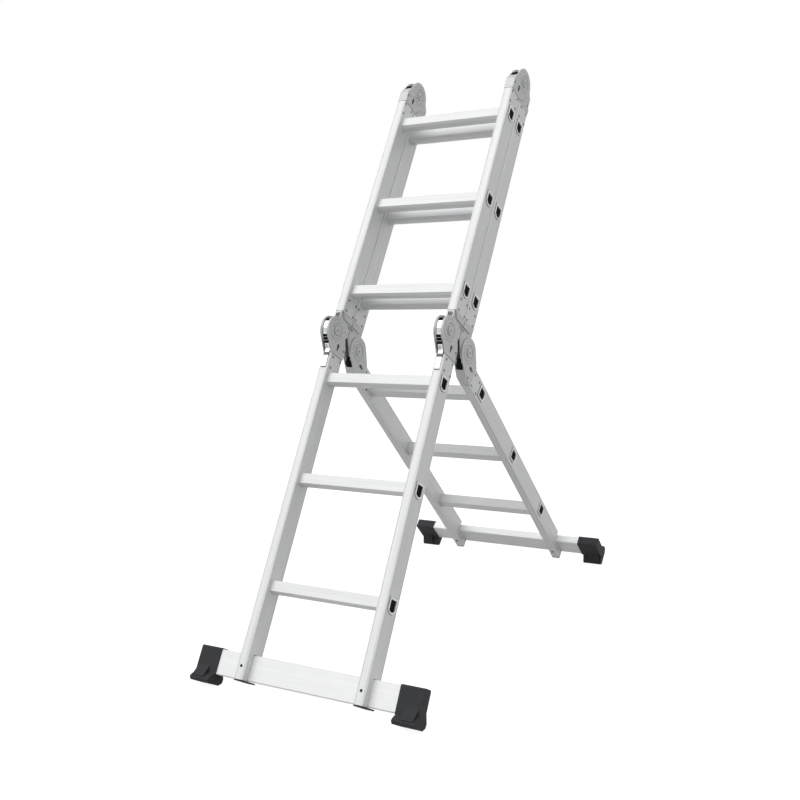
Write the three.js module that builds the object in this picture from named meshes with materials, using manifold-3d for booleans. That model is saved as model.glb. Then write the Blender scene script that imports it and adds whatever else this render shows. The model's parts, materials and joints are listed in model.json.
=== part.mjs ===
// Multi position ladder: four sections of three rungs joined by three pairs of locking hinges.
// It stands with its two front sections in one straight line, the upper rear section folded flat
// behind the upper front one, and the lower rear section swung out as the back leg.
// Millimetres, +Z up, X along the rungs (the left stile is at -X), the front leg towards -Y.
// The origin is on the floor, under the middle of the bounding box.
import * as THREE from 'three';
import { mergeVertices } from 'three/addons/utils/BufferGeometryUtils.js';
import Module from 'manifold-3d';

const wasm = await Module();
wasm.setup();

// ---------- driving dimensions ----------
const GAP = 0.3; // between pieces that touch
const OVERSHOOT = 1; // how far a cut runs past its piece, and joined shapes into each other

const LADDER_WIDTH = 364; // over the stiles
const STILE_DEPTH = 58;
const STILE_THICKNESS = 25;
const STILE_WALL = 1.8;
const STILE_CORNER = 3;
const STILE_X = (LADDER_WIDTH - STILE_THICKNESS) / 2; // centre of each stile

const RUNG_PITCH = 280;
const RUNG_COUNT = 3; // on each section
const FIRST_RUNG = 132; // from a hinge pivot to the rung nearest to it
const RUNG_DEPTH = 30;
const RUNG_HEIGHT = 32;
const RUNG_SIDE = 26; // height of the flat front and back, above the bowed underside
const RUNG_WALL = 1.6;
const RUNG_LIP = 2.5; // the ends are flared over the stile's outer face
const RUNG_LIP_THICKNESS = 1.2;

const SECTION_GAP = 2.4; // between two sections folded together
const PIVOT_OFFSET = (STILE_DEPTH + SECTION_GAP) / 2; // from a pivot to the stile's centre plane
const TUBE_START = 62; // from a pivot to the end of the stile tube
const MIDDLE_LENGTH = 2 * FIRST_RUNG + (RUNG_COUNT - 1) * RUNG_PITCH; // pivot to pivot
const LAST_RUNG = FIRST_RUNG + (RUNG_COUNT - 1) * RUNG_PITCH; // from the pivot, on an end section

const UPPER_LEAN = 35.6; // of the two upper sections, degrees from upright
const FRONT_LEAN = 33.5; // of the lower front section, just past straight
const REAR_FLAT_STOP = 7; // fold angles at which the back leg stops, 0 being folded flat
const REAR_STRAIGHT_STOP = 177.5;

const BAR_HEIGHT = 62;
const BAR_DEPTH = 24;
const BAR_WALL = 1.8;
const BAR_CORNER = 2;
const BAR_CLEARANCE = 1.5; // from the bar's top to the end of the stile's side walls
const BAR_LENGTH = 622;
const BAR_SETBACK = 22; // from the stile's front face to the bar's
const BAR_CENTRE = 199; // below the last rung
const BAR_FRONT_Y = BAR_SETBACK - STILE_DEPTH / 2;
const FLANGE_END = 231; // bottom of the stile's front flange, below the last rung
const CAP_THICKNESS = 3.5;
const CAP_PLUG = 24; // how far an end cap reaches up inside the flange

const FOOT_START = 254; // inner end of a foot, from the middle of the bar
const FOOT_END = 316;
const FOOT_WALL = 2.5;
const FOOT_CORNER = 4;
const SOLE_START = 258;
const SOLE_END = 315;
// side outline of a sole: distance in front of the stile's centre plane, distance below the last rung
const SOLE = {
  ankleFront: [9.5, 229],
  toeTop: [25, 243],
  toe: [20, 254],
  heel: [-20, 254],
  heelTop: [-33, 237],
  ankleBack: [-19.5, 212],
};
const TOE_WEDGE = { start: 277, end: 310, top: [9.5, 212], tip: [26.5, 242] };
const TOE_FLAT = 7; // how far forward the flat runs that the back leg stands on
const HEEL_FLAT = 11; // how far back the flat runs that the front leg stands on

// Hinges. p is the distance from the pivot towards the stile's far face, q the distance along the stile.
const CHEEK_RADIUS = 40; // rim of a lock bracket's two cheeks
const CHEEK_INNER = 10.4; // half gap between the cheeks
const CHEEK_OUTER = 13.4;
const CHEEK_SHOULDER = 28; // q at which a cheek reaches the far face
const WEB_START = 9; // q at which the web along the far edge begins, clear of the turning discs
const WEB_THICKNESS = 2.5;
const DISC_RADIUS = 39.5; // rim of a disc bracket's two notched plates
const DISC_OUTER = 10.1;
const DISC_THICKNESS = 3;
const DISC_SHOULDER = 10;
const COVER_START = 45; // q at which a disc bracket widens to the stile's faces
const COVER_CUT = [6, 18]; // the slant of its near corner, from the near face
const COVER_SETBACK = 0.6; // behind the cheeks' outer faces
const NEAR_WEB_START = 56.5; // q at which its near web turns inwards over the folded release lever
const NEAR_WEB_END = [19, 42.2]; // p and q where the web ends
const BRACKET_END = 61;
const BRIDGE_START = 64; // q at which the strip that joins the two tangs begins
const TANG_START = 50;
const TANG_END = 112; // how far a bracket's tang reaches inside its tube
const TANG_THICKNESS = 3;
const PIVOT_RADIUS = 8;
const PIVOT_HEAD_RADIUS = 12.5;
const PIVOT_HEAD_THICKNESS = 1.8;
const PIVOT_SEGMENTS = 20;

const PIN_RADIUS = 3;
const PIN_P = 24;
const PIN_LOCKED_Q = 31;
const PIN_RELEASED_Q = 35.6; // as modelled: the lock pins stand drawn, clear of the discs
const PIN_HEAD_RADIUS = 4.6;
const PIN_HEAD_THICKNESS = 1;
const PIN_SEGMENTS = 12;
const SLOT_END = 49;

const LEVER_HALF_WIDTH = 6.5;
const LEVER_BAND = [33, 37]; // inner and outer radius round the pivot
const LEVER_START = 208; // where the band starts and leaves the circle, degrees from p towards q
const LEVER_LEAVE = 137;
const LEVER_TAB_HALF = 0.9;
const LEVER_TAB_END = 106;
const LEVER_EYE = 5.4; // from the lock pin's axis to the edges of the arm that holds it
const TOP_LOCKS = [0, 35, 180]; // fold angles at which the top hinges lock
const ROUND_STEPS = 5; // facets of a slot's or notch's half round
const PLATE_STEP = 11; // degrees of a bracket's round rim to one facet

const ALUMINIUM = { color: 0xc9cbcd, roughness: 0.38, metalness: 0.9 };
const BRIGHT_ALUMINIUM = { color: 0xdadcde, roughness: 0.32, metalness: 0.9 };
const ZINC_STEEL = { color: 0xb9bbbd, roughness: 0.42, metalness: 0.85 };
const CHROME_STEEL = { color: 0xd8dadd, roughness: 0.18, metalness: 1.0 };
const BLACK_STEEL = { color: 0x232426, roughness: 0.5, metalness: 0.6 };
const BLACK_RUBBER = { color: 0x2b2c2e, roughness: 0.75, metalness: 0.0 };

// ---------- helpers ----------
const radians = THREE.MathUtils.degToRad;
const degrees = THREE.MathUtils.radToDeg;
const MERGE_DISTANCE = 1e-4;

function solidOf(geometry) {
  geometry.deleteAttribute('normal');
  geometry.deleteAttribute('uv');
  const merged = mergeVertices(geometry, MERGE_DISTANCE);
  return new wasm.Manifold(new wasm.Mesh({
    numProp: 3,
    vertProperties: new Float32Array(merged.attributes.position.array),
    triVerts: new Uint32Array(merged.index.array),
  }));
}

function geometryOf(solid) {
  const { vertProperties, triVerts } = solid.getMesh();
  const geometry = new THREE.BufferGeometry();
  geometry.setAttribute('position', new THREE.BufferAttribute(new Float32Array(vertProperties), 3));
  geometry.setIndex(new THREE.BufferAttribute(new Uint32Array(triVerts), 1));
  return geometry;
}

function named(name, solid, finish) {
  const mesh = new THREE.Mesh(geometryOf(solid), new THREE.MeshStandardMaterial(finish));
  mesh.name = name;
  return mesh;
}

// a closed outline through points [a, b]
function outline(points) {
  return new THREE.Shape(points.map(([a, b]) => new THREE.Vector2(a, b)));
}

function extruded(shape, depth) {
  return new THREE.ExtrudeGeometry(shape, { depth, bevelEnabled: false, curveSegments: 1 });
}

// an outline in Y and Z, given its thickness from x0 to x1
function acrossX(shape, x0, x1) {
  const axes = new THREE.Matrix4().makeBasis(
    new THREE.Vector3(0, 1, 0), new THREE.Vector3(0, 0, 1), new THREE.Vector3(1, 0, 0));
  return solidOf(extruded(shape, x1 - x0).applyMatrix4(axes.setPosition(x0, 0, 0)));
}

// an outline in X and Y, given its height from z0 to z1
function alongZ(shape, z0, z1) {
  return solidOf(extruded(shape, z1 - z0).translate(0, 0, z0));
}

function box(x0, x1, y0, y1, z0, z1) {
  const geometry = new THREE.BoxGeometry(x1 - x0, y1 - y0, z1 - z0);
  geometry.translate((x0 + x1) / 2, (y0 + y1) / 2, (z0 + z1) / 2);
  return solidOf(geometry);
}

// a body turned about the X axis, from [radius, x] points
function turnedAboutX(profile, segments) {
  const geometry = new THREE.LatheGeometry(profile.map(([r, x]) => new THREE.Vector2(r, x)), segments);
  geometry.rotateZ(-Math.PI / 2);
  return solidOf(geometry);
}

function rodAlongX(radius, x, segments) {
  return turnedAboutX([[0, -x], [radius, -x], [radius, x], [0, x]], segments);
}

// points on an arc about (0, 0), angles in degrees
function arc(radius, from, to, steps) {
  return Array.from({ length: steps + 1 }, (_, i) => {
    const angle = radians(from + ((to - from) * i) / steps);
    return [radius * Math.cos(angle), radius * Math.sin(angle)];
  });
}

// points of a rectangle with rounded corners
function roundedRectangle(halfWidth, halfHeight, radius, steps) {
  const corners = [[1, 1, 0], [-1, 1, 90], [-1, -1, 180], [1, -1, 270]];
  return corners.flatMap(([sx, sy, start]) => arc(radius, start, start + 90, steps)
    .map(([a, b]) => [a + sx * (halfWidth - radius), b + sy * (halfHeight - radius)]));
}

// ---------- stiles ----------
// A section's own frame: Y towards the back, Z up along the stile, the pivot's level at z = 0
// and the stile's centre plane at y = 0. Distances below the pivot are positive in the arguments.
const rungLevels = Array.from({ length: RUNG_COUNT }, (_, i) => FIRST_RUNG + i * RUNG_PITCH);

// cross-section of a rung: flat top, front and back, and a shallow bowed underside
function rungOutline(grow) {
  const half = RUNG_DEPTH / 2 + grow;
  const top = RUNG_HEIGHT / 2 + grow;
  const side = RUNG_HEIGHT / 2 - RUNG_SIDE;
  const facets = 4;
  const underside = Array.from({ length: facets + 1 }, (_, i) => {
    const across = -1 + (2 * i) / facets;
    return [across * half, side - (top + side) * (1 - across * across)];
  });
  return outline([[half, top], [-half, top], ...underside]);
}

function stile(from, to) {
  const outer = roundedRectangle(STILE_THICKNESS / 2, STILE_DEPTH / 2, STILE_CORNER, 3);
  const inner = roundedRectangle(
    STILE_THICKNESS / 2 - STILE_WALL, STILE_DEPTH / 2 - STILE_WALL, STILE_CORNER - STILE_WALL, 1);
  let tube = alongZ(outline(outer), -to, -from).subtract(
    alongZ(outline(inner), -to - OVERSHOOT, -from + OVERSHOOT));
  for (const level of rungLevels) {
    const hole = acrossX(rungOutline(GAP), -STILE_THICKNESS, STILE_THICKNESS);
    tube = tube.subtract(hole.translate([0, 0, -level]));
  }
  return tube;
}

// the foot of an end section's stile keeps only its front flange, and the bar lies behind that
function footedStile() {
  const end = LAST_RUNG + FLANGE_END;
  const top = LAST_RUNG + BAR_CENTRE - BAR_HEIGHT / 2 - BAR_CLEARANCE;
  return stile(TUBE_START, end).subtract(box(
    -STILE_THICKNESS, STILE_THICKNESS, BAR_FRONT_Y - GAP, STILE_DEPTH, -end - OVERSHOOT, -top));
}

function endCap() {
  const end = LAST_RUNG + FLANGE_END;
  const halfWidth = STILE_THICKNESS / 2;
  const plate = roundedRectangle(halfWidth, STILE_DEPTH / 2, STILE_CORNER, 2);
  const plugFront = -STILE_DEPTH / 2 + STILE_CORNER;
  const plugHalf = halfWidth - STILE_WALL - GAP;
  const plug = box(
    -plugHalf, plugHalf, plugFront, BAR_FRONT_Y - 2 * GAP, -end - OVERSHOOT, -end + CAP_PLUG);
  return alongZ(outline(plate), -end - CAP_THICKNESS, -end - GAP).add(plug);
}

// ---------- rungs and bars ----------
function rung() {
  const half = LADDER_WIDTH / 2;
  const lipStart = half + GAP;
  const lipEnd = lipStart + RUNG_LIP_THICKNESS;
  const tube = acrossX(rungOutline(0), -lipEnd, lipEnd);
  const rightLip = acrossX(rungOutline(RUNG_LIP), lipStart, lipEnd);
  const leftLip = acrossX(rungOutline(RUNG_LIP), -lipEnd, -lipStart);
  const bore = acrossX(rungOutline(-RUNG_WALL), -lipEnd - OVERSHOOT, lipEnd + OVERSHOOT);
  return tube.add(rightLip).add(leftLip).subtract(bore);
}

function stabiliserBar() {
  const half = BAR_LENGTH / 2;
  const outer = roundedRectangle(BAR_DEPTH / 2, BAR_HEIGHT / 2, BAR_CORNER, 1);
  const inner = roundedRectangle(
    BAR_DEPTH / 2 - BAR_WALL, BAR_HEIGHT / 2 - BAR_WALL, BAR_CORNER / 2, 1);
  return acrossX(outline(outer), -half, half)
    .subtract(acrossX(outline(inner), -half - OVERSHOOT, half + OVERSHOOT))
    .translate([0, BAR_FRONT_Y + BAR_DEPTH / 2, -(LAST_RUNG + BAR_CENTRE)]);
}

// ---------- lean of the back leg ----------
// it follows from its toe standing level with the front leg's heel
function drop(lean, front, below) {
  return below * Math.cos(radians(lean)) - front * Math.sin(radians(lean));
}

const frontDrop = drop(FRONT_LEAN, SOLE.heel[0] - PIVOT_OFFSET, LAST_RUNG + SOLE.heel[1]);
const rearDrop = frontDrop - 4 * PIVOT_OFFSET * Math.sin(radians(UPPER_LEAN));
const toeAhead = SOLE.toe[0] + PIVOT_OFFSET;
const toeBelow = LAST_RUNG + SOLE.toe[1];
const REAR_LEAN = degrees(
  Math.atan2(toeAhead, toeBelow) + Math.acos(rearDrop / Math.hypot(toeAhead, toeBelow)));

// ---------- feet ----------
// a rubber foot on the bar's right end, in the section's frame
function foot() {
  const centreY = BAR_FRONT_Y + BAR_DEPTH / 2;
  const centreZ = -(LAST_RUNG + BAR_CENTRE);
  const shell = roundedRectangle(BAR_DEPTH / 2 + FOOT_WALL, BAR_HEIGHT / 2 + FOOT_WALL, FOOT_CORNER, 2)
    .map(([y, z]) => [y + centreY, z + centreZ]);
  const { ankleFront, toeTop, toe, heel, heelTop, ankleBack } = SOLE;
  const toeFlat = [toe[0] + TOE_FLAT, toe[1] - TOE_FLAT * Math.tan(radians(REAR_LEAN))];
  const heelFlat = [heel[0] - HEEL_FLAT, heel[1] - HEEL_FLAT * Math.tan(radians(FRONT_LEAN))];
  const sole = [ankleFront, toeTop, toeFlat, toe, heel, heelFlat, heelTop, ankleBack]
    .map(([front, below]) => [-front, -(LAST_RUNG + below)]);
  const wedge = [TOE_WEDGE.top, TOE_WEDGE.tip, [0, TOE_WEDGE.tip[1]], [0, TOE_WEDGE.top[1]]]
    .map(([front, below]) => [-front, -(LAST_RUNG + below)]);
  const socketY = BAR_DEPTH / 2 + GAP;
  const socketZ = BAR_HEIGHT / 2 + GAP;
  const socket = box(FOOT_START - OVERSHOOT, BAR_LENGTH / 2 + GAP,
    centreY - socketY, centreY + socketY, centreZ - socketZ, centreZ + socketZ);
  return acrossX(outline(shell), FOOT_START, FOOT_END)
    .add(acrossX(outline(sole), SOLE_START, SOLE_END))
    .add(acrossX(outline(wedge), TOE_WEDGE.start, TOE_WEDGE.end))
    .subtract(socket);
}

// ---------- hinges ----------
// A hinge piece is drawn with p along Y and q along Z, and turned over where it is used.
const NEAR = PIVOT_OFFSET - STILE_DEPTH / 2;
const FAR = PIVOT_OFFSET + STILE_DEPTH / 2;
const TANG_NEAR = NEAR + STILE_CORNER;
const TANG_FAR = FAR - STILE_CORNER;

function mirrored(solid) {
  return solid.add(solid.mirror([1, 0, 0]));
}

// where the line from a point outside a circle touches it, in degrees
function touchAngle(p, q, radius, side) {
  return degrees(Math.atan2(q, p) + side * Math.acos(radius / Math.hypot(p, q)));
}

// a disc about the pivot drawn out to the width of the stile; nearAngle is where it leaves the circle
function plateOutline(radius, shoulder, nearAngle) {
  const farAngle = touchAngle(FAR, shoulder, radius, -1);
  const steps = Math.round((360 + farAngle - nearAngle) / PLATE_STEP);
  return outline([
    [FAR, shoulder],
    [FAR, BRACKET_END],
    [NEAR, BRACKET_END],
    ...arc(radius, nearAngle, 360 + farAngle, steps),
  ]);
}

// the leg of a bracket that lies inside the stile, with its outer face at x
function tang(x) {
  return box(x - TANG_THICKNESS, x, TANG_NEAR, TANG_FAR, TANG_START, TANG_END);
}

// the lower half round of the lock pin's slot and notches
function pinRound(radius) {
  return arc(radius, 180, 360, ROUND_STEPS).map(([p, q]) => [p + PIN_P, q + PIN_LOCKED_Q]);
}

const THROUGH = 2 * CHEEK_OUTER; // half length of a cut through a whole hinge
const pivotHole = rodAlongX(PIVOT_RADIUS + GAP, THROUGH, PIVOT_SEGMENTS);

// the lock pin's side of a hinge: two cheeks joined by a web along their far edge
function lockBracket() {
  const nearAngle = touchAngle(NEAR, BRACKET_END, CHEEK_RADIUS, 1);
  const cheek = plateOutline(CHEEK_RADIUS, CHEEK_SHOULDER, nearAngle);
  const side = acrossX(cheek, CHEEK_INNER, CHEEK_OUTER).add(tang(CHEEK_INNER));
  const half = PIN_RADIUS + GAP;
  const slotTop = arc(half, 0, 180, ROUND_STEPS).map(([p, q]) => [p + PIN_P, q + SLOT_END - half]);
  const slot = acrossX(outline([...pinRound(half), ...slotTop]), -THROUGH, THROUGH);
  return mirrored(side).add(farWeb()).subtract(slot).subtract(pivotHole);
}

// a strip that follows the cheeks' far edge down from WEB_START
function farWeb() {
  const leave = radians(touchAngle(FAR, CHEEK_SHOULDER, CHEEK_RADIUS, -1));
  const slant = (radius, q) => [(radius - q * Math.sin(leave)) / Math.cos(leave), q];
  const inner = CHEEK_RADIUS - WEB_THICKNESS;
  const half = CHEEK_INNER + OVERSHOOT;
  return acrossX(outline([
    [FAR, BRACKET_END],
    [FAR - WEB_THICKNESS, BRACKET_END],
    [FAR - WEB_THICKNESS, CHEEK_SHOULDER],
    slant(inner, WEB_START),
    slant(CHEEK_RADIUS, WEB_START),
    [FAR, CHEEK_SHOULDER],
  ]), -half, half);
}

// the other side of a hinge: two plates notched where the lock pin drops in at each fold angle
function discBracket(lockAngles) {
  const plate = plateOutline(DISC_RADIUS, DISC_SHOULDER, 90 - touchGap());
  const [cutEnd, cutStart] = COVER_CUT;
  const cover = outline([
    [FAR, COVER_START],
    [FAR, BRACKET_END],
    [NEAR + cutEnd, BRACKET_END],
    [NEAR + cutStart, COVER_START],
  ]);
  const side = acrossX(plate, DISC_OUTER - DISC_THICKNESS, DISC_OUTER)
    .add(acrossX(cover, DISC_OUTER - OVERSHOOT, CHEEK_OUTER - COVER_SETBACK))
    .add(tang(DISC_OUTER));
  const half = DISC_OUTER - OVERSHOOT;
  const bridge = box(-half, half, TANG_FAR - WEB_THICKNESS, TANG_FAR, BRIDGE_START, TANG_END);
  let bracket = mirrored(side).add(bridge).add(nearWeb(half)).subtract(pivotHole);
  for (const angle of lockAngles) {
    bracket = bracket.subtract(notch(angle));
  }
  return bracket;
}

// a strip between the plates, down their near edge and then slanting inwards
function nearWeb(half) {
  const [endP, endQ] = NEAR_WEB_END;
  const slope = (endQ - NEAR_WEB_START) / (endP - NEAR);
  const rise = WEB_THICKNESS * Math.hypot(1, slope);
  return acrossX(outline([
    [NEAR, BRACKET_END],
    [NEAR, NEAR_WEB_START],
    [endP, endQ],
    [endP, endQ + rise],
    [NEAR + WEB_THICKNESS, NEAR_WEB_START + slope * WEB_THICKNESS + rise],
    [NEAR + WEB_THICKNESS, BRACKET_END],
  ]), -half, half);
}

// half angle by which the near edge stays clear of the pivot plane
function touchGap() {
  return degrees(Math.asin(NEAR / DISC_RADIUS));
}

// the lock pin's path at one fold angle (0 folded, 180 straight), seen from the disc bracket
function notch(angle) {
  const half = PIN_RADIUS + GAP;
  const open = DISC_RADIUS + OVERSHOOT;
  const shape = outline([...pinRound(half), [PIN_P + half, open], [PIN_P - half, open]]);
  return acrossX(shape, -THROUGH, THROUGH).mirror([0, 1, 0]).rotate([angle, 0, 0]);
}

function headedPin(radius, headRadius, thickness, segments) {
  const head = CHEEK_OUTER + GAP;
  const top = head + thickness;
  return turnedAboutX([
    [0, -top], [headRadius - thickness / 2, -top], [headRadius, -head], [radius, -head],
    [radius, head], [headRadius, head], [headRadius - thickness / 2, top], [0, top],
  ], segments);
}

function lockPin() {
  return headedPin(PIN_RADIUS, PIN_HEAD_RADIUS, PIN_HEAD_THICKNESS, PIN_SEGMENTS)
    .translate([0, PIN_P, PIN_RELEASED_Q]);
}

// a band round the near side of the discs, a thin tab along the stile, and an arm holding the lock pin
function releaseLever() {
  const leave = radians(LEVER_LEAVE);
  // where the straight part of the band meets p = given, beyond the circle
  const meet = (radius, p) => [p, (radius - p * Math.cos(leave)) / Math.sin(leave)];
  const [inner, outer] = LEVER_BAND;
  const steps = 7;
  const band = outline([
    ...arc(inner, LEVER_START, LEVER_LEAVE, steps),
    meet(inner, LEVER_TAB_HALF),
    [LEVER_TAB_HALF, LEVER_TAB_END],
    [-LEVER_TAB_HALF, LEVER_TAB_END],
    meet(outer, -LEVER_TAB_HALF),
    ...arc(outer, LEVER_LEAVE, LEVER_START, steps),
  ]);
  const low = PIN_RELEASED_Q - LEVER_EYE;
  const high = PIN_RELEASED_Q + LEVER_EYE;
  const middle = (inner + outer) / 2;
  const cos = Math.cos(leave);
  const sin = Math.sin(leave);
  const arm = outline([
    [(middle - low * sin) / cos, low],
    [PIN_P + LEVER_EYE, low],
    [PIN_P + LEVER_EYE, high],
    [(middle - high * sin) / cos, high],
  ]);
  const eye = rodAlongX(PIN_RADIUS + GAP, THROUGH, PIN_SEGMENTS)
    .translate([0, PIN_P, PIN_RELEASED_Q]);
  return acrossX(band, -LEVER_HALF_WIDTH, LEVER_HALF_WIDTH)
    .add(acrossX(arm, -LEVER_HALF_WIDTH, LEVER_HALF_WIDTH))
    .subtract(eye);
}

// ---------- assembly ----------
const middleStile = stile(TUBE_START, MIDDLE_LENGTH - TUBE_START);
const endStile = footedStile();
const rungShape = rung();
const barShape = stabiliserBar();
const footShape = foot();
const capShape = endCap();
const lockPieces = {
  lock_bracket: [lockBracket(), ZINC_STEEL],
  lock_pin: [lockPin(), BLACK_STEEL],
  pivot_pin: [
    headedPin(PIVOT_RADIUS, PIVOT_HEAD_RADIUS, PIVOT_HEAD_THICKNESS, PIVOT_SEGMENTS), ZINC_STEEL],
  release_lever: [releaseLever(), CHROME_STEEL],
};
const SIDES = [['left', -1], ['right', 1]];

// a section hangs below its upper pivot; side is +1 with its stiles behind that pivot, -1 in front
function section(name, side, isEnd) {
  const middle = new THREE.Group();
  middle.position.y = side * PIVOT_OFFSET;
  for (const [hand, x] of SIDES) {
    const shape = isEnd ? endStile : middleStile;
    middle.add(named(`${name}_stile_${hand}`, shape.translate([x * STILE_X, 0, 0]), ALUMINIUM));
  }
  rungLevels.forEach((level, i) => {
    middle.add(named(`${name}_rung_${i + 1}`, rungShape.translate([0, 0, -level]), BRIGHT_ALUMINIUM));
  });
  if (isEnd) {
    middle.add(named(`${name}_stabiliser_bar`, barShape, ALUMINIUM));
    for (const [hand, x] of SIDES) {
      const shape = x > 0 ? footShape : footShape.mirror([1, 0, 0]);
      middle.add(named(`${name}_foot_${hand}`, shape, BLACK_RUBBER));
      middle.add(named(`${name}_end_cap_${hand}`, capShape.translate([x * STILE_X, 0, 0]), BLACK_RUBBER));
    }
  }
  const group = new THREE.Group();
  group.add(middle);
  return group;
}

// pieces of a hinge carried by one section, with p along side * Y and q along up * Z from the pivot
function addHinge(group, hinge, pieces, [y, z], side, up) {
  for (const [hand, x] of SIDES) {
    for (const [piece, [shape, finish]] of Object.entries(pieces)) {
      const turned = shape.scale([1, side, up]).translate([x * STILE_X, y, z]);
      group.add(named(`${hinge}_${piece}_${hand}`, turned, finish));
    }
  }
}

const upperFront = section('upper_front', -1, false);
const upperRear = section('upper_rear', 1, false);
const lowerFront = section('lower_front', 1, true);
const lowerRear = section('lower_rear', -1, true);

const straightFold = 180 + UPPER_LEAN - FRONT_LEAN;
const rearFold = 180 - UPPER_LEAN - REAR_LEAN;
const frontLocks = [0, straightFold];
const rearLocks = [REAR_FLAT_STOP, rearFold, REAR_STRAIGHT_STOP];
const disc = (lockAngles) => ({ disc_bracket: [discBracket(lockAngles), ZINC_STEEL] });
addHinge(upperFront, 'top', lockPieces, [0, 0], -1, -1);
addHinge(upperRear, 'top', disc(TOP_LOCKS), [0, 0], 1, -1);
addHinge(lowerFront, 'front', lockPieces, [0, 0], 1, -1);
addHinge(upperFront, 'front', disc(frontLocks), [-2 * PIVOT_OFFSET, -MIDDLE_LENGTH], 1, 1);
addHinge(lowerRear, 'rear', lockPieces, [0, 0], -1, -1);
addHinge(upperRear, 'rear', disc(rearLocks), [2 * PIVOT_OFFSET, -MIDDLE_LENGTH], -1, 1);

lowerFront.position.set(0, -2 * PIVOT_OFFSET, -MIDDLE_LENGTH);
lowerFront.rotation.x = radians(UPPER_LEAN - FRONT_LEAN);
lowerRear.position.set(0, 2 * PIVOT_OFFSET, -MIDDLE_LENGTH);
lowerRear.rotation.x = radians(UPPER_LEAN + REAR_LEAN);
upperFront.add(lowerFront, upperRear);
upperRear.add(lowerRear);
upperFront.rotation.x = -radians(UPPER_LEAN);

const group = new THREE.Group();
group.name = 'multi_position_ladder';
group.add(upperFront);
group.updateMatrixWorld(true);
const bounds = new THREE.Box3().setFromObject(group, true);
const centre = bounds.getCenter(new THREE.Vector3());
group.position.set(-centre.x, -centre.y, -bounds.min.z);
group.updateMatrixWorld(true);

export default group;
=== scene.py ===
import json
import math

import bmesh
import bpy
from mathutils import Matrix, Vector


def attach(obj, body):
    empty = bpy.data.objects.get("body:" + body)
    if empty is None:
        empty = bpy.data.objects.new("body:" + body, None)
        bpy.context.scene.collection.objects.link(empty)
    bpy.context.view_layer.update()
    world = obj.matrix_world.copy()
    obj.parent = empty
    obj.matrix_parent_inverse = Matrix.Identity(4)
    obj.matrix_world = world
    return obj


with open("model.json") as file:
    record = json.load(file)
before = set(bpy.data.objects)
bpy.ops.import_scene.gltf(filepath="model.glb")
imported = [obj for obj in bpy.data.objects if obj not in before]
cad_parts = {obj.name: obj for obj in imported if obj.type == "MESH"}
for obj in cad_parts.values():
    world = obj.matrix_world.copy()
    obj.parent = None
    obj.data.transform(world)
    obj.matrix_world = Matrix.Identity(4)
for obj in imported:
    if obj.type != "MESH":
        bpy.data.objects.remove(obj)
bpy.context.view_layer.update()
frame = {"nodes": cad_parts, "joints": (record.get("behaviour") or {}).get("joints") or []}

# The looks of a multi position ladder: metal, rubber and plastic finishes for the CAD pieces, and the
# small parts that the CAD leaves out: rivets, bolts, rung plugs, embossed rings, lever grips, springs.
# Shapes are in millimetres in a section's or a hinge's own frame, and become metres when a mesh is made.
# Sizes in materials are in metres.

MM = 0.001
STILE_X = 169.5  # middle of a stile
STILE_SIDE = 12.5  # a stile's side and front faces, from its middle
STILE_FRONT = 29.0
PIVOT_OFFSET = 30.2  # pivot to the stile's middle plane
RUNG_LEVELS = (132.0, 412.0, 692.0)  # below the pivot
RUNG_HALF = 15.0
RUNG_TOP = 16.0
RUNG_CREASE = -10.0  # where the flat front and back end and the bowed underside begins
BAR_CENTRE = RUNG_LEVELS[-1] + 199.0  # below the pivot
CHEEK_FACE = 13.4  # outer face of a lock bracket's cheeks, from the stile's middle
DISC_FACE = 10.1  # and of a disc bracket's notched plates
SIDES = (("left", -1), ("right", 1))

joints = {joint["name"]: joint for joint in frame["joints"]}


# ---------- frames of the sections and hinges ----------
def back_of(up):
    """The direction out of a section's back, from the direction up along it."""
    return Vector((0.0, up.z, -up.y))


pivots = {name: Vector(joints[name + "_fold"]["pos_m"]) for name in ("front", "top", "rear")}
ups = {name: Vector(joints[name + "_lock_left_slide"]["axis"]).normalized() for name in pivots}
SECTIONS = {  # hinge that the section hangs from, and 1 with its stiles behind that pivot, -1 in front
    "upper_front": ("top", -1),
    "upper_rear": ("top", 1),
    "lower_front": ("front", 1),
    "lower_rear": ("rear", -1),
}
BRACKETS = {  # section that carries each bracket, and the ways that p and q run there
    "front": {"lock": ("lower_front", 1, -1), "disc": ("upper_front", 1, 1)},
    "top": {"lock": ("upper_front", -1, -1), "disc": ("upper_rear", 1, -1)},
    "rear": {"lock": ("lower_rear", -1, -1), "disc": ("upper_rear", -1, 1)},
}


def frame_matrix(origin, along_y, along_z):
    columns = Matrix((Vector((1.0, 0.0, 0.0)), along_y, along_z)).transposed().to_4x4()
    return Matrix.Translation(origin) @ columns @ Matrix.Scale(MM, 4)


def section_matrix(section):
    hinge, side = SECTIONS[section]
    up = ups[hinge]
    back = back_of(up)
    return frame_matrix(pivots[hinge] + back * (side * PIVOT_OFFSET * MM), back, up)


def hinge_matrix(hinge, part, x):
    """x from the stile's middle, p from the pivot towards the stile, q along the stile."""
    section, p_way, q_way = BRACKETS[hinge][part]
    up = ups[SECTIONS[section][0]]
    origin = pivots[hinge] + Vector((x * STILE_X * MM, 0.0, 0.0))
    return frame_matrix(origin, back_of(up) * p_way, up * q_way)


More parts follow.
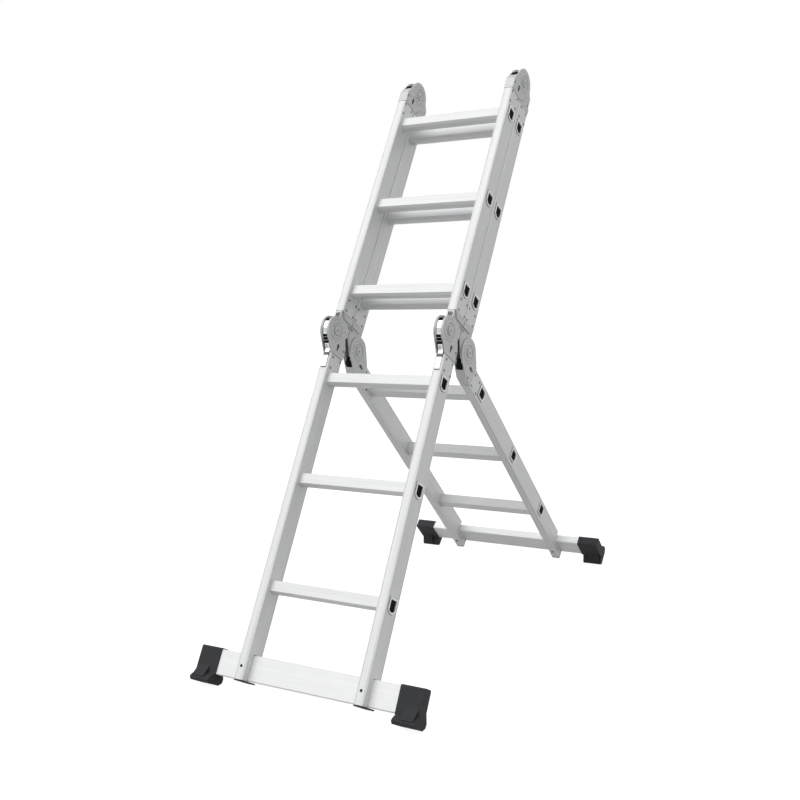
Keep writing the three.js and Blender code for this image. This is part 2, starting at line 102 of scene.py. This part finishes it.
# ---------- meshes ----------
def piece(name, parts, matrix, material, body, smooth=False):
    """One object from several closed (vertices, faces) parts."""
    mesh = bpy.data.meshes.new(name)
    vertices = []
    faces = []
    for part_vertices, part_faces in parts:
        start = len(vertices)
        vertices += [matrix @ Vector(v) for v in part_vertices]
        faces += [[start + i for i in face] for face in part_faces]
    mesh.from_pydata(vertices, [], faces)
    shape = bmesh.new()
    shape.from_mesh(mesh)
    bmesh.ops.recalc_face_normals(shape, faces=shape.faces)
    shape.to_mesh(mesh)
    shape.free()
    mesh.materials.append(material)
    for polygon in mesh.polygons:
        polygon.use_smooth = smooth
    thing = bpy.data.objects.new(name, mesh)
    bpy.context.scene.collection.objects.link(thing)
    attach(thing, body)


def prism(points, x0, x1, chamfer):
    """An outline in (y, z) given its thickness along x, with its rims cut back by the chamfer."""
    count = len(points)
    middle = Vector((sum(p[0] for p in points) / count, sum(p[1] for p in points) / count))
    inset = []
    for p in points:
        away = Vector(p) - middle
        inset.append(Vector(p) - away.normalized() * min(chamfer, away.length * 0.5))
    rings = [(x0, inset), (x0 + chamfer, points), (x1 - chamfer, points), (x1, inset)]
    vertices = [(x, p[0], p[1]) for x, ring in rings for p in ring]
    faces = [list(range(count))[::-1], [len(vertices) - count + i for i in range(count)]]
    for ring in range(len(rings) - 1):
        near = ring * count
        far = near + count
        for i in range(count):
            j = (i + 1) % count
            faces.append([near + i, near + j, far + j, far + i])
    return vertices, faces


def rectangle(y0, y1, z0, z1):
    return [(y0, z0), (y1, z0), (y1, z1), (y0, z1)]


def turned(profile, centre, axis, segments):
    """A closed profile of (radius, height) turned about an axis through a point."""
    axis = Vector(axis)
    across = axis.orthogonal().normalized()
    other = axis.cross(across)
    vertices = []
    faces = []
    count = len(profile)
    for i in range(segments):
        angle = 2 * math.pi * i / segments
        out = across * math.cos(angle) + other * math.sin(angle)
        for radius, height in profile:
            vertices.append(Vector(centre) + out * radius + axis * height)
    for i in range(segments):
        j = (i + 1) % segments
        for k in range(count):
            m = (k + 1) % count
            faces.append([i * count + k, j * count + k, j * count + m, i * count + m])
    return vertices, faces


HUB = 0.05  # radius at which a turned shape closes about its axis
SUNK = 0.2  # how far a head lies below the face it stands on


def dome(centre, axis, radius, height, segments=14):
    """A rivet or bolt head standing on a face, sunk a little into it."""
    profile = [
        (HUB, -SUNK),
        (radius, -SUNK),
        (radius, height * 0.35),
        (radius * 0.8, height * 0.8),
        (HUB, height),
    ]
    return turned(profile, centre, axis, segments)


NEARLY_X = Vector((1.0, 0.02, 0.03))


def tube(path, radius, sides=6):
    """A round wire along a path."""
    vertices = []
    faces = []
    points = [Vector(p) for p in path]
    for i, point in enumerate(points):
        ahead = points[min(i + 1, len(points) - 1)] - points[max(i - 1, 0)]
        ahead.normalize()
        across = ahead.cross(NEARLY_X).normalized()
        other = ahead.cross(across)
        for k in range(sides):
            angle = 2 * math.pi * k / sides
            vertices.append(point + (across * math.cos(angle) + other * math.sin(angle)) * radius)
    for i in range(len(points) - 1):
        for k in range(sides):
            m = (k + 1) % sides
            faces.append([i * sides + k, i * sides + m, (i + 1) * sides + m, (i + 1) * sides + k])
    faces.append(list(range(sides))[::-1])
    faces.append([len(vertices) - sides + k for k in range(sides)])
    return vertices, faces


RUNG_FACETS = 8  # of the bowed underside


def rung_outline(grow):
    """A rung's outline in (y, z) about its own middle, grown outwards by a margin."""
    half = RUNG_HALF + grow
    top = RUNG_TOP + grow
    underside = []
    for i in range(RUNG_FACETS + 1):
        across = -1 + 2 * i / RUNG_FACETS
        underside.append((across * half, RUNG_CREASE - (top + RUNG_CREASE) * (1 - across * across)))
    return [(half, top), (-half, top)] + underside


# ---------- materials ----------
class Nodes:
    def __init__(self, name):
        self.material = bpy.data.materials.new(name)
        self.material.use_nodes = True
        self.tree = self.material.node_tree
        self.shader = self.tree.nodes["Principled BSDF"]
        self.coordinates = self.add("ShaderNodeTexCoord")

    def add(self, kind, inputs=None, **settings):
        node = self.tree.nodes.new(kind)
        for key, value in settings.items():
            setattr(node, key, value)
        for key, value in (inputs or {}).items():
            if isinstance(value, bpy.types.NodeSocket):
                self.tree.links.new(value, node.inputs[key])
            else:
                node.inputs[key].default_value = value
        return node

    def math(self, operation, *values):
        node = self.add("ShaderNodeMath", dict(enumerate(values)), operation=operation)
        return node.outputs[0]

    def product(self, first, *others):
        for other in others:
            first = self.math("MULTIPLY", first, other)
        return first

    def faces(self, direction, least):
        """1 where the surface faces a direction or its opposite."""
        towards = self.math("ABSOLUTE", self.along(direction, "Normal"))
        return self.math("GREATER_THAN", towards, least)

    def along(self, direction, source="Object"):
        """The coordinate or the normal along a direction."""
        inputs = {0: self.coordinates.outputs[source], 1: tuple(direction)}
        return self.add("ShaderNodeVectorMath", inputs, operation="DOT_PRODUCT").outputs["Value"]

    def span(self, value, low, high):
        inputs = {"Value": value, "To Min": low, "To Max": high}
        return self.add("ShaderNodeMapRange", inputs).outputs["Result"]

    def noise(self, vector, scale, detail=3.0):
        inputs = {"Vector": vector, "Scale": scale, "Detail": detail}
        return self.add("ShaderNodeTexNoise", inputs).outputs["Fac"]

    def grain(self, axes, scales):
        """Noise drawn out along one of three directions."""
        parts = [self.math("MULTIPLY", self.along(axis), scale) for axis, scale in zip(axes, scales)]
        vector = self.add("ShaderNodeCombineXYZ", dict(enumerate(parts))).outputs[0]
        return self.noise(vector, 1.0)

    def shade(self, colour, factor):
        """The colour, made lighter or darker by a factor about 1."""
        inputs = {0: tuple(colour), "Scale": factor}
        vector = self.add("ShaderNodeVectorMath", inputs, operation="SCALE")
        self.tree.links.new(vector.outputs[0], self.shader.inputs["Base Color"])

    def set(self, **inputs):
        for key, value in inputs.items():
            socket = self.shader.inputs[key.replace("_", " ")]
            if isinstance(value, bpy.types.NodeSocket):
                self.tree.links.new(value, socket)
            else:
                socket.default_value = value

    def bump(self, height, distance, strength, normal):
        inputs = {"Height": height, "Distance": distance, "Strength": strength, "Normal": normal}
        return self.add("ShaderNodeBump", inputs).outputs["Normal"]

    def round_edges(self, radius):
        return self.add("ShaderNodeBevel", {"Radius": radius}, samples=6).outputs["Normal"]


X_AXIS = Vector((1.0, 0.0, 0.0))
LINE_SCALE = 900.0  # noise across an extruded tube: its fine die lines and broader bands
BAND_SCALE = 230.0
LENGTH_SCALE = 4.0  # and along it
CLOUD = (14.0, 4.0)  # scale and detail of each plain noise
SPECKLE = (900.0, 2.0)
MOTTLE = (260.0, 3.0)
SMEAR = (60.0, 5.0)
DUST = (45.0, 4.0)
FACING = 0.8  # least share of a normal that counts as facing a direction
TREAD_FACING = 0.85
FRONT_GROOVE = (0.0085, 0.0011)  # distance from a stile's middle and half width
SIDE_GROOVE = (0.0235, 0.0012)
SIDE_RIM = (0.0272, 0.0022)
GROOVE_SHADE = 0.22
GROOVE_DEPTH = 0.0006
# strength of the painted highlight on the rims of a stile's sides
RIM_PAINTED_HIGHLIGHT = 0.45
LINE_DEPTH = 0.00012
RIB_PITCH = 0.0034  # of the ribs on a rung's tread
RIB_DEPTH = 0.0005
SPECKLE_DEPTH = 0.00006
TUBE_EDGE = 0.0009  # radii of worn edges
MOULDED_EDGE = 0.0012


def near_line(nodes, value, place, half):
    """1 on a line at a distance from zero on either side, falling to 0 at its edges."""
    away = nodes.math("ABSOLUTE", nodes.math("SUBTRACT", nodes.math("ABSOLUTE", value), place))
    return nodes.math("MAXIMUM", nodes.math("SUBTRACT", 1.0, nodes.math("DIVIDE", away, half)), 0.0)


def stile_details(nodes, tone, normal, back, depth):
    """Shallow grooves down a stile's faces and a painted highlight along the rims of its sides."""
    across = nodes.math("SUBTRACT", nodes.math("ABSOLUTE", nodes.along(X_AXIS)), STILE_X * MM)
    on_side = nodes.faces(X_AXIS, FACING)
    front = nodes.product(near_line(nodes, across, *FRONT_GROOVE), nodes.faces(back, FACING))
    sides = nodes.product(near_line(nodes, depth, *SIDE_GROOVE), on_side)
    groove = nodes.math("MAXIMUM", front, sides)
    shade = nodes.math("SUBTRACT", 1.0, nodes.product(groove, GROOVE_SHADE))
    # painted highlight: the rims of a stile's sides are made lighter in colour
    rim = nodes.product(near_line(nodes, depth, *SIDE_RIM), RIM_PAINTED_HIGHLIGHT, on_side)
    tone = nodes.product(tone, shade, nodes.math("ADD", 1.0, rim))
    return tone, nodes.bump(nodes.math("MULTIPLY", groove, -1.0), GROOVE_DEPTH, 0.6, normal)


def aluminium(name, section, colour, roughness, kind, banding=0.1):
    """Extruded aluminium: die lines along the tube, faint clouds, a stile's grooves, a rung's ribs."""
    hinge, side = SECTIONS[section]
    up = ups[hinge]
    back = back_of(up)
    middle = pivots[hinge].dot(back) + side * PIVOT_OFFSET * MM
    nodes = Nodes(name)
    axes = (X_AXIS, back, up)
    if kind == "stile":
        lines = nodes.grain(axes, (LINE_SCALE, LINE_SCALE, LENGTH_SCALE))
        bands = nodes.grain(axes, (BAND_SCALE, BAND_SCALE, LENGTH_SCALE))
    else:
        lines = nodes.grain(axes, (LENGTH_SCALE, LINE_SCALE, LINE_SCALE))
        bands = nodes.grain(axes, (LENGTH_SCALE, BAND_SCALE, BAND_SCALE))
    cloud = nodes.noise(nodes.coordinates.outputs["Object"], *CLOUD)
    tone = nodes.product(
        nodes.span(lines, 0.9, 1.1),
        nodes.span(bands, 1 - banding, 1 + banding),
        nodes.span(cloud, 0.97, 1.03),
    )
    normal = nodes.bump(lines, LINE_DEPTH, 0.5, nodes.round_edges(TUBE_EDGE))
    depth = nodes.math("SUBTRACT", nodes.along(back), middle)
    if kind == "stile":
        tone, normal = stile_details(nodes, tone, normal, back, depth)
    if kind == "rung":
        wave = nodes.math("SINE", nodes.math("MULTIPLY", depth, 2 * math.pi / RIB_PITCH))
        on_top = nodes.math("GREATER_THAN", nodes.along(up, "Normal"), TREAD_FACING)
        normal = nodes.bump(nodes.product(wave, on_top), RIB_DEPTH, 1.0, normal)
    nodes.shade(colour, tone)
    nodes.set(Metallic=0.2, Roughness=nodes.span(lines, roughness - 0.08, roughness + 0.1))
    nodes.set(Normal=normal)
    return nodes.material


PIVOT_PAINTED_SHADE = (  # rings of painted shade about a pivot, at the edge of the pivot's head and both edges of the embossed ring, and a painted dark spot on its middle: radius, half width, strength
    (0.0, 0.004, 0.9),
    (0.0129, 0.0012, 0.5),
    (0.0198, 0.0014, 0.45),
    (0.0282, 0.0016, 0.3),
)


def plated(name, colour, metallic, roughness, speckle, bevel, pivot=None):
    """Zinc, chrome or blackened steel: fine speckle, faint smears, worn rims, painted shade in rings
    about a pivot.
    """
    nodes = Nodes(name)
    place = nodes.coordinates.outputs["Object"]
    fine = nodes.noise(place, *SPECKLE)
    mottle = nodes.noise(place, *MOTTLE)
    smear = nodes.noise(place, *SMEAR)
    tone = nodes.product(
        nodes.span(fine, 1 - speckle, 1 + speckle),
        nodes.span(smear, 0.92, 1.08),
        nodes.span(mottle, 1 - 2 * speckle, 1 + 2 * speckle),
    )
    # painted shade: darker rings at the edges of the relief about the pivot and a dark spot on its
    # middle
    if pivot is not None:
        flat = nodes.add("ShaderNodeVectorMath", {0: place, 1: (0.0, 1.0, 1.0)}, operation="MULTIPLY")
        centre = (0.0, pivot.y, pivot.z)
        ends = {0: flat.outputs[0], 1: centre}
        away = nodes.add("ShaderNodeVectorMath", ends, operation="DISTANCE").outputs["Value"]
        for radius, half, depth in PIVOT_PAINTED_SHADE:
            mark = nodes.product(near_line(nodes, away, radius, half), depth)
            tone = nodes.product(tone, nodes.math("SUBTRACT", 1.0, mark))
    nodes.shade(colour, tone)
    nodes.set(Metallic=metallic, Roughness=nodes.span(smear, roughness * 0.75, roughness * 1.3))
    nodes.set(Normal=nodes.bump(fine, SPECKLE_DEPTH, 0.5, nodes.round_edges(bevel)))
    return nodes.material


def soft_black(name, colour, roughness, grain, depth, specular):
    """Rubber or moulded plastic: a fine matt grain with dusty patches."""
    nodes = Nodes(name)
    place = nodes.coordinates.outputs["Object"]
    fine = nodes.noise(place, grain, 3.0)
    patches = nodes.noise(place, *DUST)
    nodes.shade(colour, nodes.product(nodes.span(fine, 0.85, 1.15), nodes.span(patches, 0.85, 1.2)))
    nodes.set(Metallic=0.0, Roughness=nodes.span(patches, roughness - 0.08, roughness + 0.08))
    nodes.set(Specular_IOR_Level=specular)
    nodes.set(Normal=nodes.bump(fine, depth, 0.7, nodes.round_edges(MOULDED_EDGE)))
    return nodes.material


TUBE_ALUMINIUM = (0.72, 0.725, 0.73)
BAR_ALUMINIUM = (0.8, 0.805, 0.81)
ZINC = (0.52, 0.525, 0.53)

stile_metal = {}
rung_metal = {}
for section in SECTIONS:
    stile_name = section + "_stile_metal"
    rung_name = section + "_rung_metal"
    stile_metal[section] = aluminium(stile_name, section, TUBE_ALUMINIUM, 0.5, "stile")
    rung_metal[section] = aluminium(rung_name, section, TUBE_ALUMINIUM, 0.48, "rung")
bar_metal = {}
for section in ("lower_front", "lower_rear"):
    bar_metal[section] = aluminium(section + "_bar_metal", section, BAR_ALUMINIUM, 0.5, "bar", 0.05)
zinc = {}
for hinge, pivot in pivots.items():
    zinc[hinge] = plated(hinge + "_zinc_plate", ZINC, 0.25, 0.42, 0.18, 0.0006, pivot)
# name, colour, metallic, roughness, speckle, and radius of the worn edges
chrome = plated("chrome_plate", (0.62, 0.625, 0.635), 1.0, 0.14, 0.02, 0.0005)
black_steel = plated("black_steel", (0.035, 0.036, 0.038), 0.3, 0.4, 0.2, 0.0005)
rivet_steel = plated("rivet_steel", (0.2, 0.2, 0.205), 0.8, 0.35, 0.1, 0.0004)
polished = plated("polished_rims", (0.86, 0.865, 0.87), 0.3, 0.3, 0.01, 0.0004)
# name, colour, roughness, scale and depth of the grain, and specular level
rubber = soft_black("foot_rubber", (0.038, 0.039, 0.042), 0.62, 700.0, 0.00025, 0.12)
plastic = soft_black("black_plastic", (0.008, 0.0085, 0.009), 0.6, 1200.0, 0.0001, 0.04)
guide_plastic = soft_black("guide_plastic", (0.16, 0.162, 0.165), 0.5, 500.0, 0.0002, 0.2)

# ---------- the CAD nodes' finishes ----------
for name, node in frame["nodes"].items():
    section = next((s for s in SECTIONS if name.startswith(s)), None)
    if "foot" in name or "end_cap" in name:
        finish = rubber
    elif "stabiliser_bar" in name:
        finish = bar_metal[section]
    elif "_rung_" in name:
        finish = rung_metal[section]
    elif "_stile_" in name:
        finish = stile_metal[section]
    elif "lever" in name:
        finish = chrome
    elif "lock_pin" in name:
        finish = black_steel
    else:
        finish = zinc[name.split("_")[0]]
    for place in node.material_slots:
        place.material = finish


# ---------- rung plugs ----------
PLUG_INNER = 170.0  # ends of a plug along x
PLUG_FACE = 181.6
PLUG_INSET = 1.75  # a plug's outline inside the rung's
PLUG_RIB_Y = 5.5
PLUG_RIB_HALF = 1.2
PLUG_RIB_Z = (-9.0, 12.0)
PLUG_RIB_ENDS = (PLUG_FACE - 0.3, PLUG_FACE + 1.0)


def plug_parts(x, level):
    """A plug in a rung's end, with two upright ribs on its face."""
    points = [(y, z - level) for y, z in rung_outline(-PLUG_INSET)]
    parts = [prism(points, *sorted((x * PLUG_INNER, x * PLUG_FACE)), chamfer=0.8)]
    low, high = PLUG_RIB_Z
    rib_ends = sorted(x * end for end in PLUG_RIB_ENDS)
    for y in (-PLUG_RIB_Y, PLUG_RIB_Y):
        web = rectangle(y - PLUG_RIB_HALF, y + PLUG_RIB_HALF, low - level, high - level)
        parts.append(prism(web, *rib_ends, chamfer=0.3))
    return parts


for section in SECTIONS:
    parts = []
    for level in RUNG_LEVELS:
        for _, x in SIDES:
            parts += plug_parts(x, level)
    matrix = section_matrix(section)
    piece(section + "_rung_plugs", parts, matrix, plastic, section + "_section")

# ---------- flared rims of the rungs ----------
RIM_INNER = -1.5  # growth of the rung's outline
RIM_OUTER = 3.1
GASKET_OUTER = 4.0
RIM_ENDS = (183.0, 183.9, 185.0)  # x of its back, of its edges and of its crest
GASKET_ENDS = (182.02, 182.3, 182.35)


def ring_between(inner, outer, x0, x1, crest):
    """A rim between two outlines of the same count, domed up to the crest on its outer side."""
    middle = [((a[0] + b[0]) / 2, (a[1] + b[1]) / 2) for a, b in zip(inner, outer)]
    loops = [(x0, inner), (x1, inner), (crest, middle), (x1, outer), (x0, outer)]
    count = len(inner)
    vertices = [(x, p[0], p[1]) for x, loop in loops for p in loop]
    faces = []
    for k in range(len(loops)):
        m = (k + 1) % len(loops)
        for i in range(count):
            j = (i + 1) % count
            faces.append([k * count + i, k * count + j, m * count + j, m * count + i])
    return vertices, faces


def rung_end(grow, level):
    return [(y, z - level) for y, z in rung_outline(grow)]


for section in SECTIONS:
    matrix = section_matrix(section)
    rims = []
    gaskets = []
    for level in RUNG_LEVELS:
        inner = rung_end(RIM_INNER, level)
        outer = rung_end(RIM_OUTER, level)
        wider = rung_end(GASKET_OUTER, level)
        for _, x in SIDES:
            rims.append(ring_between(inner, outer, *[x * end for end in RIM_ENDS]))
            gaskets.append(ring_between(outer, wider, *[x * end for end in GASKET_ENDS]))
    piece(section + "_rung_rims", rims, matrix, polished, section + "_section")
    piece(section + "_rung_gaskets", gaskets, matrix, plastic, section + "_section")

# ---------- bar bolts ----------
BOLT_RADIUS = 3.4
BOLT_HEIGHT = 1.6
for section in ("lower_front", "lower_rear"):
    parts = []
    for _, x in SIDES:
        centre = (x * STILE_X, -STILE_FRONT, -BAR_CENTRE)
        parts.append(dome(centre, (0.0, -1.0, 0.0), BOLT_RADIUS, BOLT_HEIGHT))
    matrix = section_matrix(section)
    piece(section + "_bar_bolts", parts, matrix, plastic, section + "_section", True)

# ---------- rivets and embossed rings of the hinges ----------
PLATE_RIVET = (52.6, 37.0)  # p and q
STILE_RIVETS = ((52.6, 69.0), (52.6, 102.0), (16.0, 70.0), (16.0, 101.0))
RIVET_RADIUS = 3.9
RIVET_HEIGHT = 1.3
RING_PROFILE = [(20.5, -0.3), (22.0, 1.3), (24.5, 1.3), (27.0, -0.3)]
BOSS_PROFILE = [(HUB, -SUNK), (6.0, -SUNK), (5.2, 1.0), (3.0, 1.0), (2.4, 0.4), (HUB, 0.4)]
BOSS_OUT = 2.1  # face of a pivot pin's head, out from the cheek


def rivet_parts(face):
    """Five rivets on each side of a bracket: one on its plate and four on the stile."""
    places = [(PLATE_RIVET, face)] + [(place, STILE_SIDE) for place in STILE_RIVETS]
    rivets = []
    for (p, q), plane in places:
        for way in (-1, 1):
            centre = (way * plane, p, q)
            rivets.append(dome(centre, (way, 0.0, 0.0), RIVET_RADIUS, RIVET_HEIGHT))
    return rivets


def ring_parts():
    """An embossed ring on each cheek and a boss on each end of the pivot pin."""
    rings = []
    for way in (-1, 1):
        axis = (way, 0.0, 0.0)
        rings.append(turned(RING_PROFILE, (way * CHEEK_FACE, 0.0, 0.0), axis, 40))
        rings.append(turned(BOSS_PROFILE, (way * (CHEEK_FACE + BOSS_OUT), 0.0, 0.0), axis, 24))
    return rings


for hinge in pivots:
    for hand, x in SIDES:
        for part, face in (("lock", CHEEK_FACE), ("disc", DISC_FACE)):
            matrix = hinge_matrix(hinge, part, x)
            name = f"{hinge}_{part}_rivets_{hand}"
            body = BRACKETS[hinge][part][0] + "_section"
            piece(name, rivet_parts(face), matrix, rivet_steel, body, True)
        matrix = hinge_matrix(hinge, "lock", x)
        body = BRACKETS[hinge]["lock"][0] + "_section"
        piece(f"{hinge}_rings_{hand}", ring_parts(), matrix, zinc[hinge], body)

# ---------- release lever details ----------
LEAVE = math.radians(137.0)  # where the band leaves its circle for the stile
TANGENT = Vector((math.sin(LEAVE), -math.cos(LEAVE)))
OUTWARD = Vector((math.cos(LEAVE), math.sin(LEAVE)))


def on_strip(distance, radius):
    """A point on the straight part of the band."""
    return OUTWARD * radius + TANGENT * distance


CAP_ANGLES = (203.0, 213.0)  # degrees round the pivot
CAP_FACETS = 3
CAP_RADII = (31.5, 38.6)
CAP_HALF = 6.7
PAD_COUNT = 3
PAD_START = -2.0  # along the straight part of the band
PAD_LENGTH = 7.0
PAD_PITCH = 8.8
PAD_RADII = (36.5, 38.9)
PAD_HALF = 6.4
SPRING_TURNS = 6
SPRING_STEPS = 14  # to a turn
SPRING_START = 27.0
SPRING_ADVANCE = 0.12  # along the band at each step
SPRING_MIDDLE = 35.2  # radius on which it lies
SPRING_HALF = (5.2, 3.0)  # half width along x and out from the band
SPRING_WIRE = 0.6
# outline in (p, q), half width along x, and chamfer
GUIDE = (rectangle(-0.95, 0.95, 62.5, 72.0), 8.4, 0.3)
# a black block that stands where the inside of the hinge looks dark
DARK_BLOCK = ([(26.0, -8.0), (40.0, -8.0), (47.0, -2.0), (49.0, 8.6), (30.0, 8.6)], 6.6, 0.5)
TAB_PLATE = (rectangle(-0.98, -0.6, 73.0, 103.5), 6.9, 0.1)
TAB_LIP = ([(-0.9, 98.0), (-0.9, 106.0), (-8.5, 107.5), (-8.8, 105.8), (-2.4, 103.0)], 6.4, 0.3)
TAB_END = (rectangle(-1.0, 0.9, 103.6, 105.8), 7.0, 0.2)


def slab(outline, half, chamfer):
    """An outline in (p, q) given its thickness about the stile's middle."""
    return prism(outline, -half, half, chamfer)


def grip_cap():
    """A cap over the band's end."""
    start, end = CAP_ANGLES
    low, high = CAP_RADII
    angles = [math.radians(start + (end - start) * i / CAP_FACETS) for i in range(CAP_FACETS + 1)]
    points = [(high * math.cos(a), high * math.sin(a)) for a in angles]
    points += [(low * math.cos(a), low * math.sin(a)) for a in reversed(angles)]
    return slab(points, CAP_HALF, 0.3)


def grip_pad(start):
    """A pad on the straight part of the band."""
    low, high = PAD_RADII
    end = start + PAD_LENGTH
    points = [on_strip(start, low), on_strip(end, low), on_strip(end, high), on_strip(start, high)]
    return slab([tuple(p) for p in points], PAD_HALF, 0.35)


def spring_path():
    """A flattened coil round the straight part of the band."""
    wide, deep = SPRING_HALF
    coil = []
    for i in range(SPRING_TURNS * SPRING_STEPS + 1):
        turn = 2 * math.pi * i / SPRING_STEPS
        middle = on_strip(SPRING_START + i * SPRING_ADVANCE, SPRING_MIDDLE)
        out = middle + OUTWARD * (deep * math.sin(turn))
        coil.append((wide * math.cos(turn), out.x, out.y))
    return coil


def add_lever_details(hinge, hand, x):
    """The pieces that ride a release lever, and a black block between the cheeks, where the inside of
    the hinge looks dark.
    """
    matrix = hinge_matrix(hinge, "lock", x)
    lever = f"{hinge}_lock_{hand}"
    section = BRACKETS[hinge]["lock"][0] + "_section"
    grip = [grip_cap()] + [grip_pad(PAD_START + i * PAD_PITCH) for i in range(PAD_COUNT)]
    spring = [tube(spring_path(), SPRING_WIRE)]
    tab = [slab(*TAB_PLATE)]
    if hinge == "rear":
        tab.append(slab(*TAB_LIP))
    piece(f"{hinge}_lever_grip_{hand}", grip, matrix, plastic, lever)
    piece(f"{hinge}_lever_spring_{hand}", spring, matrix, chrome, lever, True)
    piece(f"{hinge}_lever_guide_{hand}", [slab(*GUIDE)], matrix, guide_plastic, lever)
    # a black block between the cheeks, where the inside of the hinge looks dark
    piece(f"{hinge}_stop_block_{hand}", [slab(*DARK_BLOCK)], matrix, plastic, section)
    piece(f"{hinge}_lever_tab_{hand}", tab, matrix, chrome, lever)
    piece(f"{hinge}_lever_end_{hand}", [slab(*TAB_END)], matrix, plastic, lever)


for hinge in pivots:
    for hand, x in SIDES:
        add_lever_details(hinge, hand, x)


# ---------- studio ----------
WORLD_STRENGTH = 0.53
FLOOR_GREY = 0.26
FLOOR_GLOW = 0.92  # as the camera and reflections see it
FLOOR_HALF = 12.0
FLOOR_Z = -0.0005


def either_ray(tree, *kinds):
    """1 for rays of any of the named kinds."""
    path = tree.nodes.new("ShaderNodeLightPath")
    seen = path.outputs[kinds[0]]
    for kind in kinds[1:]:
        either = tree.nodes.new("ShaderNodeMath")
        either.operation = "MAXIMUM"
        tree.links.new(seen, either.inputs[0])
        tree.links.new(path.outputs[kind], either.inputs[1])
        seen = either.outputs[0]
    return seen


def glowing(tree, kind, strength):
    node = tree.nodes.new(kind)
    node.inputs["Color"].default_value = (1.0, 1.0, 1.0, 1.0)
    node.inputs["Strength"].default_value = strength
    return node.outputs[0]


def mixed(tree, factor, first, second):
    mix = tree.nodes.new("ShaderNodeMixShader")
    for place, output in enumerate((factor, first, second)):
        tree.links.new(output, mix.inputs[place])
    return mix.outputs[0]


def studio_world():
    world = bpy.data.worlds.new("studio")
    bpy.context.scene.world = world
    world.use_nodes = True
    tree = world.node_tree
    tree.nodes.clear()
    seen = either_ray(tree, "Is Camera Ray", "Is Transmission Ray", "Is Glossy Ray")
    lit = glowing(tree, "ShaderNodeBackground", WORLD_STRENGTH)
    white = glowing(tree, "ShaderNodeBackground", 1.0)
    out = tree.nodes.new("ShaderNodeOutputWorld")
    tree.links.new(mixed(tree, seen, lit, white), out.inputs["Surface"])


def studio_floor():
    material = bpy.data.materials.new("studio_white")
    material.use_nodes = True
    tree = material.node_tree
    tree.nodes.clear()
    seen = either_ray(tree, "Is Camera Ray", "Is Glossy Ray")
    dark = glowing(tree, "ShaderNodeEmission", 0.0)
    glow = glowing(tree, "ShaderNodeEmission", FLOOR_GLOW)
    diffuse = tree.nodes.new("ShaderNodeBsdfDiffuse")
    diffuse.inputs["Color"].default_value = (FLOOR_GREY, FLOOR_GREY, FLOOR_GREY, 1.0)
    both = tree.nodes.new("ShaderNodeAddShader")
    out = tree.nodes.new("ShaderNodeOutputMaterial")
    tree.links.new(mixed(tree, seen, dark, glow), both.inputs[0])
    tree.links.new(diffuse.outputs[0], both.inputs[1])
    tree.links.new(both.outputs[0], out.inputs["Surface"])
    half = FLOOR_HALF
    corners = [(-half, -half), (half, -half), (half, half), (-half, half)]
    mesh = bpy.data.meshes.new("studio_floor")
    mesh.from_pydata([(x, y, FLOOR_Z) for x, y in corners], [], [(0, 1, 2, 3)])
    mesh.materials.append(material)
    floor = bpy.data.objects.new("studio_floor", mesh)
    bpy.context.scene.collection.objects.link(floor)


def sun(name, towards, strength, angle):
    """A lamp that stands in a direction from the object and looks as wide as an angle in degrees."""
    data = bpy.data.lights.new(name, "SUN")
    data.energy = strength
    data.angle = math.radians(angle)
    lamp = bpy.data.objects.new(name, data)
    lamp.rotation_mode = "QUATERNION"
    lamp.rotation_quaternion = Vector(towards).to_track_quat("Z", "Y")
    bpy.context.scene.collection.objects.link(lamp)


studio_world()
studio_floor()
sun("key", (-0.3, -0.42, 0.86), 1.58, 60.0)
sun("back", (0.5, 0.6, 0.62), 0.2, 40.0)
sun("fill", (0.9, -0.4, 0.25), 0.1, 40.0)

# ---------- camera ----------
CAMERA_FROM_TOP_PIVOT = Vector((1.38785, -2.82395, -0.34176))
YAW = math.radians(30.701)
PITCH = math.radians(-10.074)
ROLL = math.radians(-3.546)
camera_data = bpy.data.cameras.new("camera")
camera_data.lens = 46.9
camera_data.sensor_width = 36.0
camera = bpy.data.objects.new("camera", camera_data)
bpy.context.scene.collection.objects.link(camera)
bpy.context.scene.camera = camera
ahead = Vector((-math.sin(YAW) * math.cos(PITCH), math.cos(YAW) * math.cos(PITCH), math.sin(PITCH)))
right = ahead.cross(Vector((0.0, 0.0, 1.0))).normalized()
above = right.cross(ahead)
rolled_right = right * math.cos(ROLL) + above * math.sin(ROLL)
rolled_above = above * math.cos(ROLL) - right * math.sin(ROLL)
turn = Matrix((rolled_right, rolled_above, -ahead)).transposed()
camera.matrix_world = Matrix.Translation(pivots["top"] + CAMERA_FROM_TOP_PIVOT) @ turn.to_4x4()

bpy.context.scene.view_settings.view_transform = "Standard"
